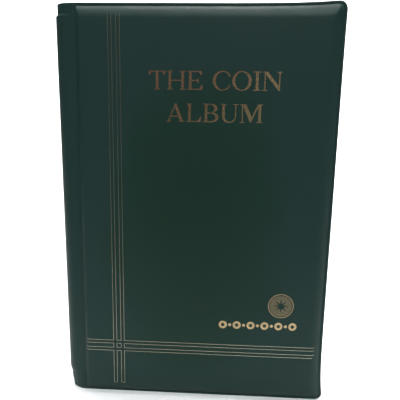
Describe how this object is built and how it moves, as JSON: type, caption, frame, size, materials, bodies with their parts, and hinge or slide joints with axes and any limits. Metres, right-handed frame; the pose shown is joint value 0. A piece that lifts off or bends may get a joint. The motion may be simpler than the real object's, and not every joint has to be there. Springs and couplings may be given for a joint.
{
  "type": "coin album",
  "caption": "Padded welded-vinyl coin album standing closed: two hinged covers, a round-cornered spine and clear pocket pages that turn on a riveted binding.",
  "frame": {"origin": "under the middle of the closed album's box, on the surface that it stands on", "axes": "+Z from foot to head, -Y out of the front cover, +X from the spine to the fore edge"},
  "size_m": [0.1336, 0.028, 0.195],
  "materials": {
    "cover_vinyl": "dark green soft vinyl with a fine leather grain and a satin sheen",
    "lining_vinyl": "dark green smooth vinyl",
    "foam": "soft foam sheet",
    "grey_board": "grey board",
    "spine_card": "bent card",
    "guard_vinyl": "dark green vinyl strip",
    "rivet_metal": "brassed steel",
    "page_film": "clear soft film",
    "pocket_film": "clear soft film with welded pockets",
    "foil": "pale gold foil stamped on the front cover, shown by the visual model only"
  },
  "bodies": {
    "spine": {"spine_skin": "cover_vinyl", "spine_stiffener": "spine_card", "spine_lining": "lining_vinyl", "page_margins": "page_film", "page_guards": "guard_vinyl", "binding_rivets": "rivet_metal", "front_hinge_strip": "cover_vinyl", "back_hinge_strip": "cover_vinyl"},
    "front_cover": {"front_cover_skin": "cover_vinyl", "front_foam_pad": "foam", "front_board": "grey_board", "front_lining": "lining_vinyl"},
    "back_cover": {"back_cover_skin": "cover_vinyl", "back_foam_pad": "foam", "back_board": "grey_board", "back_lining": "lining_vinyl"},
    "page_01": {"page_01": "page_film", "page_01_pockets": "pocket_film"},
    "page_02": {"page_02": "page_film", "page_02_pockets": "pocket_film"},
    "page_03": {"page_03": "page_film", "page_03_pockets": "pocket_film"},
    "page_04": {"page_04": "page_film", "page_04_pockets": "pocket_film"},
    "page_05": {"page_05": "page_film", "page_05_pockets": "pocket_film"},
    "page_06": {"page_06": "page_film", "page_06_pockets": "pocket_film"},
    "page_07": {"page_07": "page_film", "page_07_pockets": "pocket_film"},
    "page_08": {"page_08": "page_film", "page_08_pockets": "pocket_film"}
  },
  "joints": [
    {"name": "front_cover_hinge", "type": "hinge", "parent": "spine", "child": "front_cover", "pos_m": [-0.05643, -0.011, 0.0975], "axis": [0, 0, -1], "range_deg": [0, 100], "deforming": ["front_hinge_strip"]},
    {"name": "back_cover_hinge", "type": "hinge", "parent": "spine", "child": "back_cover", "pos_m": [-0.05643, 0.011, 0.0975], "axis": [0, 0, 1], "range_deg": [0, 100], "deforming": ["back_hinge_strip"]},
    {"name": "page_01_turn", "type": "hinge", "parent": "spine", "child": "page_01", "pos_m": [-0.05042, -0.0077, 0.0975], "axis": [0, 0, -1], "range_deg": [0, 75]},
    {"name": "page_02_turn", "type": "hinge", "parent": "spine", "child": "page_02", "pos_m": [-0.05042, -0.0055, 0.0975], "axis": [0, 0, -1], "range_deg": [0, 67]},
    {"name": "page_03_turn", "type": "hinge", "parent": "spine", "child": "page_03", "pos_m": [-0.05042, -0.0033, 0.0975], "axis": [0, 0, -1], "range_deg": [0, 59]},
    {"name": "page_04_turn", "type": "hinge", "parent": "spine", "child": "page_04", "pos_m": [-0.05042, -0.0011, 0.0975], "axis": [0, 0, -1], "range_deg": [0, 51]},
    {"name": "page_05_turn", "type": "hinge", "parent": "spine", "child": "page_05", "pos_m": [-0.05042, 0.0011, 0.0975], "axis": [0, 0, 1], "range_deg": [0, 51]},
    {"name": "page_06_turn", "type": "hinge", "parent": "spine", "child": "page_06", "pos_m": [-0.05042, 0.0033, 0.0975], "axis": [0, 0, 1], "range_deg": [0, 59]},
    {"name": "page_07_turn", "type": "hinge", "parent": "spine", "child": "page_07", "pos_m": [-0.05042, 0.0055, 0.0975], "axis": [0, 0, 1], "range_deg": [0, 67]},
    {"name": "page_08_turn", "type": "hinge", "parent": "spine", "child": "page_08", "pos_m": [-0.05042, 0.0077, 0.0975], "axis": [0, 0, 1], "range_deg": [0, 75]}
  ],
  "couplings": [
    {"joint": "page_01_turn", "follows": "front_cover_hinge", "ratio": 0.75},
    {"joint": "page_02_turn", "follows": "front_cover_hinge", "ratio": 0.67},
    {"joint": "page_03_turn", "follows": "front_cover_hinge", "ratio": 0.59},
    {"joint": "page_04_turn", "follows": "front_cover_hinge", "ratio": 0.51},
    {"joint": "page_05_turn", "follows": "back_cover_hinge", "ratio": 0.51},
    {"joint": "page_06_turn", "follows": "back_cover_hinge", "ratio": 0.59},
    {"joint": "page_07_turn", "follows": "back_cover_hinge", "ratio": 0.67},
    {"joint": "page_08_turn", "follows": "back_cover_hinge", "ratio": 0.75}
  ]
}
